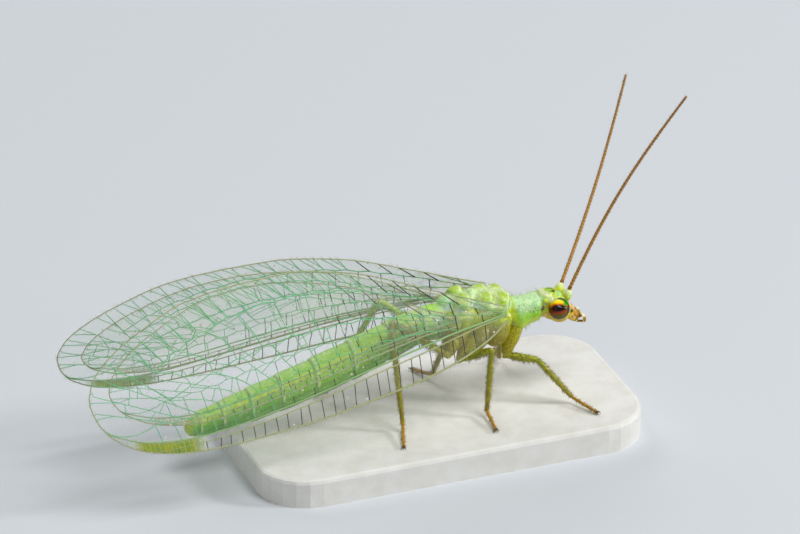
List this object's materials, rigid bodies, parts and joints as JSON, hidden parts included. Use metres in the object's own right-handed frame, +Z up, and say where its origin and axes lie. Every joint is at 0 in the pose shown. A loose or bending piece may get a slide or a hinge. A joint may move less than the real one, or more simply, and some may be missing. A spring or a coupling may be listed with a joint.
{
  "type": "green lacewing",
  "caption": "Still, life-size green lacewing at rest, with roof-like veined wings, long feelers and slender legs, standing on a plain flat base.",
  "frame": {"origin": "middle of the whole model's outline seen from above, on the underside of the stand", "axes": "+X towards the head and feelers, +Y towards the insect's left, +Z up from the stand"},
  "size_m": [0.0192, 0.0066, 0.0104],
  "materials": {
    "cuticle": "soft waxy green cuticle, low sheen, paler along the back",
    "eye": "smooth, glossy, dark metallic with a gold and copper shine",
    "antenna": "matte tan-brown, finely ringed",
    "leg": "satin olive-yellow green, browner at the feet",
    "wing_membrane": "clear thin film with a faint pearly sheen",
    "wing_vein": "fine sea-green veins, many cross veins dark brown",
    "stand": "plain matte pale plate with softened edges"
  },
  "bodies": {
    "root": {"stand_base": "stand", "head": "cuticle", "prothorax": "cuticle", "mesothorax": "cuticle", "metathorax": "cuticle", "abdomen": "cuticle", "eye_left": "eye", "eye_right": "eye", "antenna_left": "antenna", "antenna_right": "antenna", "leg_front_left_upper": "leg", "leg_front_left_lower": "leg", "leg_front_right_upper": "leg", "leg_front_right_lower": "leg", "leg_middle_left_upper": "leg", "leg_middle_left_lower": "leg", "leg_middle_right_upper": "leg", "leg_middle_right_lower": "leg", "leg_hind_left_upper": "leg", "leg_hind_left_lower": "leg", "leg_hind_right_upper": "leg", "leg_hind_right_lower": "leg", "forewing_left": "wing_membrane", "forewing_right": "wing_membrane", "hindwing_left": "wing_membrane", "hindwing_right": "wing_membrane"}
  },
  "joints": []
}
